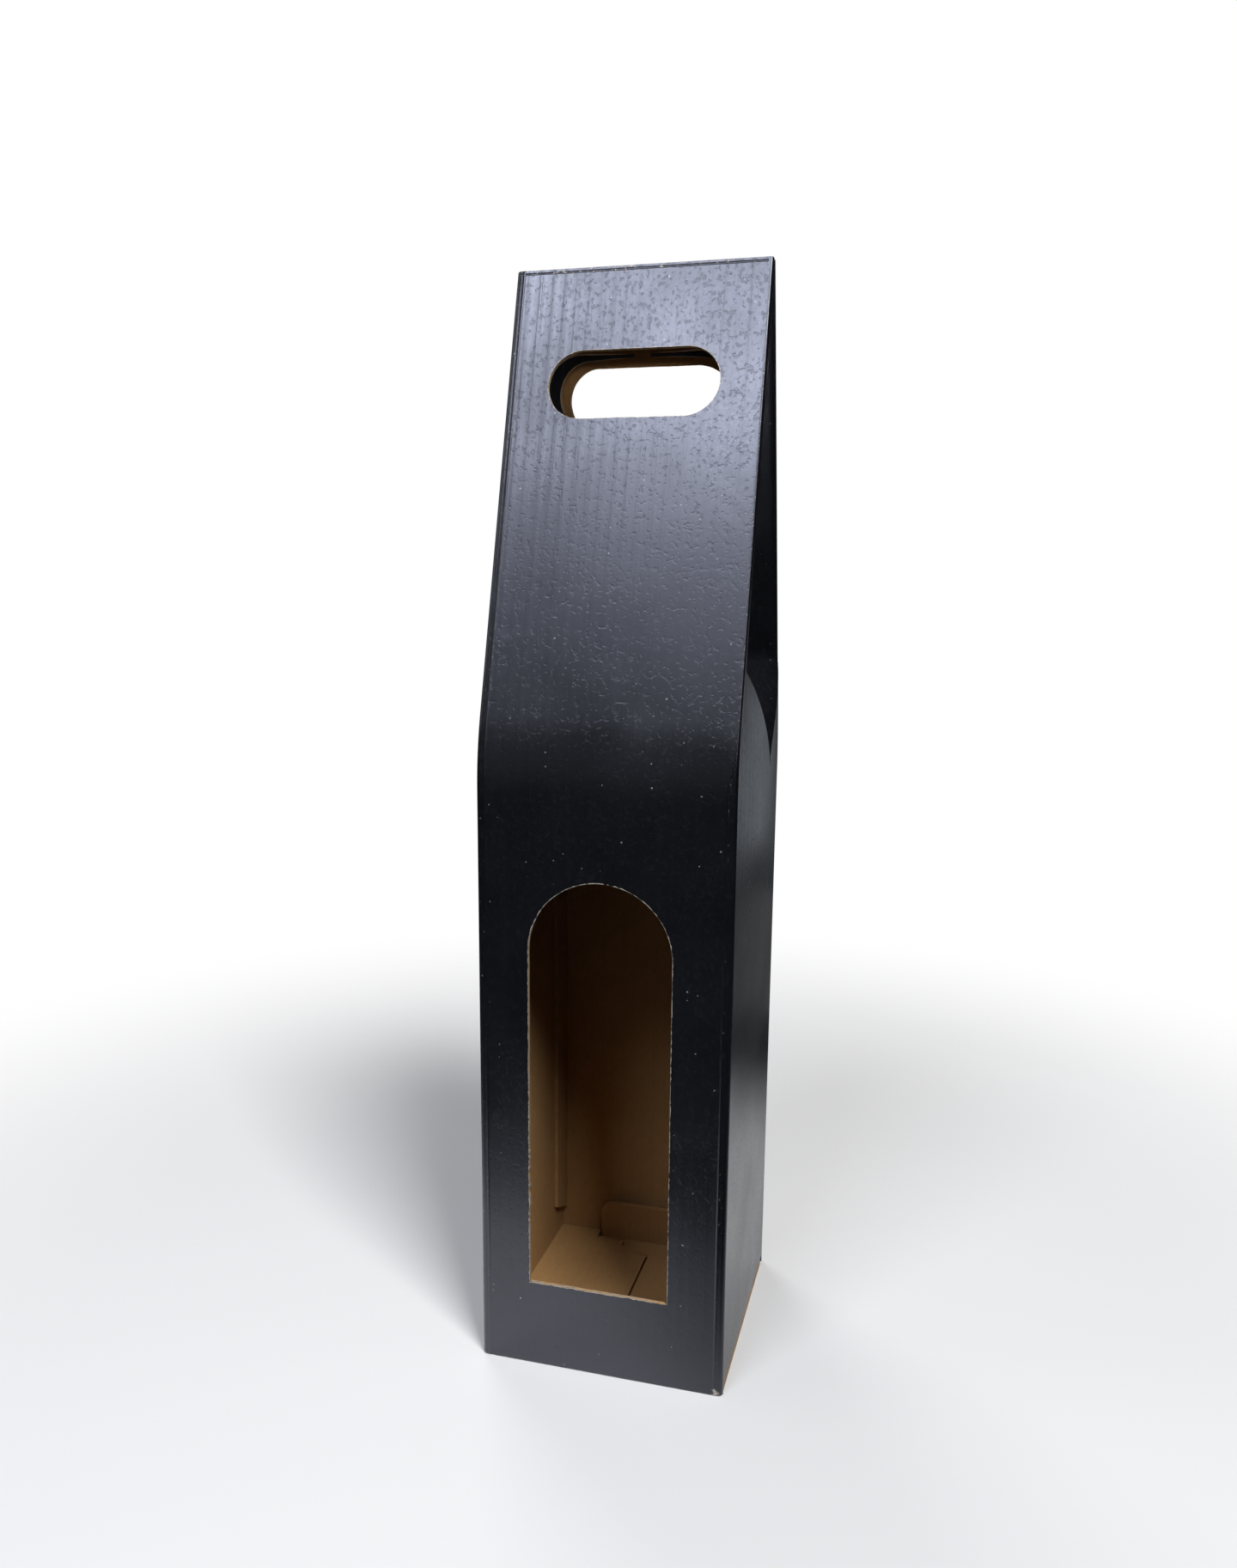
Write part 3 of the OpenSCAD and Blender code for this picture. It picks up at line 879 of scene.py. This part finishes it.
class BOX_OT_inner_flaps(bpy.types.Operator):
    """Folds the glued seam flap and the ridge with the flap that closes the top"""

    bl_idname = "winebox.inner_flaps"
    bl_label = "Seam Flap and Top Ridge"

    def execute(self, context):
        f = Folding(context.scene.box_sizes)
        self.seam_flap(f)
        self.top_ridge(f)
        return {"FINISHED"}

    def seam_flap(self, f):
        rear, low, high = CAD["glued_w"], CAD["glued_low"], CAD["glued_high"]
        shape = along([(0, low + SEAM_BEVEL), (0, high - SEAM_BEVEL), (rear, high), (rear, low)], 0.002)
        rows = every(low, high, 0.008)[1:-1]
        bm = flat_board(frayed(shape, f.s.fray / 2, 60), (), every(0, rear, 0.002)[1:-1], rows)

        def place(u, z, inner):
            y = f.inner_half(z) - rear + u
            x = f.half_w - f.t + f.wall_bulge(y / f.inner_half(z), z) - GLUE
            return Vector((-x + (f.t if inner else 0), y, z))

        # Painted shade: the cut edges deep inside the box take the darker kraft finish
        piece = fold_board("glued_seam_flap", bm, place, rim=KRAFT)
        stands_for(piece, "box", "glue_flap")

    def top_ridge(self, f):
        base_z = f.s.box_h - f.t
        start, finish = -f.half_depth(base_z), f.inner_half(base_z)
        turn = QUARTER - f.lean
        r = f.t / (1 - math.cos(turn))
        flat_l = max(0.0, finish - start - 2 * r * math.sin(turn))
        bend_l = r * turn
        flap_l = CAD["ridge_flap"] / math.cos(f.lean)
        flap_v = 2 * bend_l + flat_l
        total = flap_v + flap_l
        half = f.half_w - f.t
        end = half - RIDGE_TAPER
        rows = steps(0, bend_l, 8)[1:] + steps(bend_l + flat_l, flap_v, 8) + every(flap_v, total, 0.004)[1:-1]
        outline = along([(-half, 0), (half, 0), (end, total), (-end, total)], 0.004)
        bm = flat_board(outline, (), every(-half, half, 0.01)[1:-1], sorted(set(rows)))

        def place(u, v, inner):
            first = turn - min(v, bend_l) / r
            y = start + r * (math.sin(turn) - math.sin(first))
            z = base_z + r * (math.cos(first) - math.cos(turn))
            heading = first
            if v > bend_l:
                y += min(v - bend_l, flat_l)
                second = min(max(0.0, v - bend_l - flat_l), bend_l) / r
                y += r * math.sin(second)
                z -= r * (1 - math.cos(second))
                heading = -second
            past = max(0.0, v - flap_v)
            y += past * math.cos(turn)
            z -= past * math.sin(turn)
            inset = f.t if inner else 0
            return Vector((u, y + inset * math.sin(heading), z - inset * math.cos(heading)))

        def folded(u, v):
            return v < bend_l

        def rub(u, v):
            return TOP_RUB * (1 - limit(v / bend_l))

        piece = fold_board("top_ridge", bm, place, folded, rub)
        stands_for(piece, "box", "top_flap")


class BOX_OT_bottom(bpy.types.Operator):
    """Folds the bottom board, its tucked flap and the two dust flaps"""

    bl_idname = "winebox.bottom"
    bl_label = "Bottom and Dust Flaps"

    def execute(self, context):
        f = Folding(context.scene.box_sizes)
        self.bottom_board(f)
        self.tucked_flap(f)
        self.dust_flaps(f)
        return {"FINISHED"}

    def bottom_board(self, f):
        s = f.s
        half, front, rear = f.half_w - s.crease_gap, CAD["bottom_front"], CAD["bottom_rear"]
        hinge_y = s.fold_reach - f.half_d
        tuck_y, tuck_half = CAD["tuck_foot"] - s.fold_reach, CAD["tuck_w"] / 2
        shape = along([
            (-half, front), (-f.relief, front), (-f.relief, hinge_y), (f.relief, hinge_y), (f.relief, front),
            (half, front), (half, rear), (tuck_half, rear), (tuck_half, tuck_y), (-tuck_half, tuck_y),
            (-tuck_half, rear), (-half, rear),
        ], 0.0015)
        bm = flat_board(shape, (), every(-half, half, 0.009)[1:-1], every(front, rear, 0.009)[1:-1])

        def place(u, v, inner):
            return Vector((u, v, f.t if inner else 0))

        def folded(u, v):
            return abs(u) <= f.relief and v < hinge_y + SNAP or abs(u) <= tuck_half and v > tuck_y - SNAP

        stands_for(fold_board("bottom_board", bm, place, folded), "bottom", "bottom_panel")
        hinged_crease(
            "bottom_crease", s, Vector((0, s.bead - f.half_d, 0)), Z, Y, X, (-f.relief, f.relief), s.crease_r,
            ("box", "bottom"),
        )

    def tucked_flap(self, f):
        s = f.s
        half, r = CAD["tuck_w"] / 2, s.tuck_r
        corner = Vector((0, CAD["tuck_foot"], 0))
        up = Vector((0, -math.sin(s.tuck_lean), math.cos(s.tuck_lean)))
        inwards = Vector((0, -math.cos(s.tuck_lean), -math.sin(s.tuck_lean)))
        top = CAD["tuck_top"] / math.cos(s.tuck_lean)
        shape = [(-half, s.fold_reach), (half, s.fold_reach)] + arc(half - r, top - r, r, 0, 90, 12)
        shape += arc(-half + r, top - r, r, 90, 180, 12)
        rows = every(s.fold_reach, top, 0.004)[1:-1]
        bm = flat_board(along(shape, 0.0012), (), every(-half, half, 0.007)[1:-1], rows)

        def place(u, v, inner):
            return corner + X * u + up * v + inwards * (f.t if inner else 0)

        def folded(u, v):
            return v < s.fold_reach + SNAP

        # Painted shade: the cut edges deep inside the box take the darker kraft finish
        piece = fold_board("tuck_in_flap", bm, place, folded, rim=KRAFT)
        stands_for(piece, "tuck", "bottom_tuck_flap")
        hinged_crease("tuck_crease", s, corner, -Y, up, X, (-half, half), s.crease_r, ("bottom", "tuck"))

    def dust_flaps(self, f):
        s = f.s
        side, front, rear = f.half_w - s.fold_reach, CAD["dust_front"], CAD["dust_rear"]
        left, right = CAD["slit_left"], CAD["slit_left"] + s.slit_gap
        stop = CAD["tuck_foot"] - s.tuck_h * math.sin(s.tuck_lean) - f.t - s.swing_gap
        beside = CAD["tuck_w"] / 2 + s.flap_gap
        hook = CAD["hook_tip"]
        bay_r = s.hook_d - s.slit_gap
        bay_front = stop - s.hook_d - s.slit_gap
        bay_x = left - (right - hook - s.slit_gap)
        left_shape = [(-side, front), (left, front), (left, bay_front)]
        left_shape += arc(bay_x, bay_front + bay_r, bay_r, -90, -180, 12)
        left_shape += [(bay_x - bay_r, stop), (-beside, stop), (-beside, rear), (-side, rear)]
        right_shape = [
            (side, front), (right, front), (right, stop - s.hook_d), (hook, stop - s.hook_d + s.hook_d / 4),
            (hook, stop), (beside, stop), (beside, rear), (side, rear),
        ]
        low = CAD["floor_z"]

        def place(u, v, inner):
            return Vector((u, v, low + (f.t if inner else 0)))

        def folded(u, v):
            return abs(u) > side - SNAP

        columns, rows = every(-side, side, 0.009)[1:-1], every(front, rear, 0.009)[1:-1]
        for name, sign, shape in (("left", -1, left_shape), ("right", 1, right_shape)):
            bm = flat_board(along(shape, 0.0012), (), columns, rows)
            # Painted shade: the cut edges deep inside the box take the darker kraft finish
            piece = fold_board(f"{name}_dust_board", bm, place, folded, rim=KRAFT)
            stands_for(piece, f"{name}_dust", f"{name}_dust_flap")
            hinged_crease(
                f"{name}_dust_crease", s, Vector((sign * f.half_w, 0, low)), Z, X * -sign, Y, (front, rear),
                s.dust_crease_r, ("box", f"{name}_dust"),
            )


class StageSettings(bpy.types.PropertyGroup):
    """Camera and light."""

    eye: FloatVectorProperty(
        name="Camera place", description="Where the camera stands", default=(0.10799, -0.40406, 0.27645),
        size=3, subtype="TRANSLATION", unit="LENGTH",
    )
    yaw: degrees("Yaw", "Turn to the left", 14.51)
    pitch: degrees("Pitch", "Tilt down", 9.79)
    roll: degrees("Roll", "Turn about the view", 0.72)
    focal_px: FloatProperty(name="Focal length", description="In pixels of the picture", default=1342.87)
    centre_px: FloatVectorProperty(
        name="View centre", description="In pixels of the picture", size=2, default=(752.88, 927.87)
    )
    picture_px: FloatVectorProperty(
        name="Picture", description="Its size in pixels", size=2, default=(1440, 1825)
    )
    sky: colour("Backdrop", "Colour behind the box", (1.0, 1.0, 1.0))
    floor: colour("Floor", "Colour of the floor", (0.80, 0.80, 0.80))
    # Painted shade: all rays but the camera's see the floor this dark beyond the painted pools of light
    floor_painted_shade: colour("Mirrored floor", "What the walls mirror beyond the pale floor", (0.018, 0.018, 0.02))
    room: colour("Room", "Tint of the room's light", (0.93, 0.96, 1.0))
    surround: FloatProperty(name="Surround", description="Brightness of the room", default=0.013, min=0)


COOL, CLEAR, WHITE = (0.86, 0.89, 1.0), (0.88, 0.94, 1.0), (1, 1, 1)
MIDDLE = (0, 0, 0.2)

# Name, place, width and height, watts, colour, point that it faces, and spread in degrees
LAMPS = (
    ("front_softbox", (-0.32, -1.08, 1.36), (0.60, 0.50), 9.3, COOL, MIDDLE, 180),
    ("front_low_card", (-0.30, -1.05, 0.28), (0.60, 0.30), 0.06, WHITE, MIDDLE, 180),
    ("right_softbox", (0.70, -0.80, 1.56), (0.5, 0.5), 29.0, WHITE, MIDDLE, 180),
    ("left_fill", (-1.4, -0.3, 0.9), (0.8, 0.8), 2.0, WHITE, MIDDLE, 180),
    ("rear_softbox", (-0.9, 1.1, 1.3), (0.8, 0.8), 9.0, WHITE, MIDDLE, 180),
    ("rear_card", (0.36, 0.70, 0.13), (0.40, 0.24), 0.145, CLEAR, MIDDLE, 180),
    ("rear_low_card", (0.13, 0.33, 0.04), (0.24, 0.08), 0.007, WHITE, MIDDLE, 180),
    ("slot_fill", (0.30, -0.60, 0.42), (0.10, 0.10), 0.02, WHITE, (0, 0, 0.347), 25),
)


class BOX_OT_stage(bpy.types.Operator):
    """Sets the camera, the floor, the backdrop and the soft lights"""

    bl_idname = "winebox.stage"
    bl_label = "Stage"

    def execute(self, context):
        scene = context.scene
        scene.view_settings.view_transform = "Standard"
        self.camera(scene)
        self.floor(scene)
        self.backdrop(scene)
        for lamp in LAMPS:
            self.lamp(*lamp)
        return {"FINISHED"}

    def camera(self, scene):
        s = scene.stage_settings
        data = bpy.data.cameras.new("picture_camera")
        data.sensor_width = 36.0
        long_side = s.picture_px[1]
        data.lens = s.focal_px * data.sensor_width / long_side
        data.shift_x = (s.picture_px[0] / 2 - s.centre_px[0]) / long_side
        data.shift_y = (s.centre_px[1] - s.picture_px[1] / 2) / long_side
        data.clip_start = 0.01
        stand = Matrix.Translation(s.eye)
        for turn, axis in ((s.yaw, "Z"), (QUARTER - s.pitch, "X"), (s.roll, "Z")):
            stand = stand @ Matrix.Rotation(turn, 4, axis)
        scene.camera = placed("picture_camera", data)
        scene.camera.matrix_world = stand

    def floor(self, scene):
        s = scene.stage_settings
        bm = bmesh.new()
        bmesh.ops.create_grid(bm, x_segments=8, y_segments=8, size=6.0)
        material = bpy.data.materials.new("pale_floor")
        placed_mesh("floor", bm, [material])
        m = Nodes(material)
        place = m.add("ShaderNodeTexCoord").outputs["Object"]

        def beyond(centre, near, far):
            away = m.add("ShaderNodeVectorMath", {0: place, 1: centre}, operation="DISTANCE")
            return m.spread(away.outputs["Value"], near, far)

        def shader(kind, tint):
            return m.add(kind, {"Color": (*tint, 1)}).outputs[0]

        pale, painted_shade_floor = shader("ShaderNodeBsdfDiffuse", s.floor), shader("ShaderNodeBsdfDiffuse", s.floor_painted_shade)
        # Painted light and shade for all rays but the camera's: pale pools that the walls mirror, dark floor
        # beyond them
        apart = m.math("MULTIPLY", beyond(*LEFT_PAINTED_LIGHT_POOL), beyond(*RIGHT_PAINTED_LIGHT_POOL))
        shown = m.either(beyond(*SHOWN_FLOOR), pale, shader("ShaderNodeEmission", s.sky))
        m.show("ShaderNodeOutputMaterial", m.either(apart, pale, painted_shade_floor), shown)

    def backdrop(self, scene):
        s = scene.stage_settings
        scene.world = bpy.data.worlds.new("backdrop")
        m = Nodes(scene.world)
        room = m.add("ShaderNodeBackground", {"Color": (*s.room, 1), "Strength": s.surround})
        sky = m.add("ShaderNodeBackground", {"Color": (*s.sky, 1)})
        m.show("ShaderNodeOutputWorld", room.outputs[0], sky.outputs[0])

    def lamp(self, name, place, size, watts, tint, aim, spread):
        data = bpy.data.lights.new(name, "AREA")
        data.shape = "RECTANGLE"
        data.size, data.size_y = size
        data.energy = watts
        data.color = tint
        data.spread = math.radians(spread)
        lamp = placed(name, data)
        lamp.location = place
        lamp.visible_camera = False
        lamp.rotation_euler = (Vector(aim) - Vector(place)).to_track_quat("-Z", "Y").to_euler()


class BOX_PT_panel(bpy.types.Panel):
    """Lists the steps that make the box"""

    bl_idname = "BOX_PT_panel"
    bl_label = "Wine Box"
    bl_space_type = "VIEW_3D"
    bl_region_type = "UI"
    bl_category = "Wine Box"

    def draw(self, context):
        for operator in OPERATORS:
            self.layout.operator(operator.bl_idname)


OPERATORS = (
    BOX_OT_materials, BOX_OT_upright_boards, BOX_OT_side_boards, BOX_OT_folded_sides, BOX_OT_inner_flaps,
    BOX_OT_bottom, BOX_OT_stage,
)
GROUPS = (BoxSizes, BoxColours, StageSettings)


def register():
    for cls in (*GROUPS, *OPERATORS, BOX_PT_panel):
        bpy.utils.register_class(cls)
    bpy.types.Scene.box_sizes = PointerProperty(type=BoxSizes)
    bpy.types.Scene.box_colours = PointerProperty(type=BoxColours)
    bpy.types.Scene.stage_settings = PointerProperty(type=StageSettings)


def unregister():
    for name in ("box_sizes", "box_colours", "stage_settings"):
        delattr(bpy.types.Scene, name)
    for cls in reversed((*GROUPS, *OPERATORS, BOX_PT_panel)):
        bpy.utils.unregister_class(cls)


def main():
    register()
    for operator in OPERATORS:
        group, name = operator.bl_idname.split(".")
        getattr(getattr(bpy.ops, group), name)()


if __name__ == "__main__":
    main()
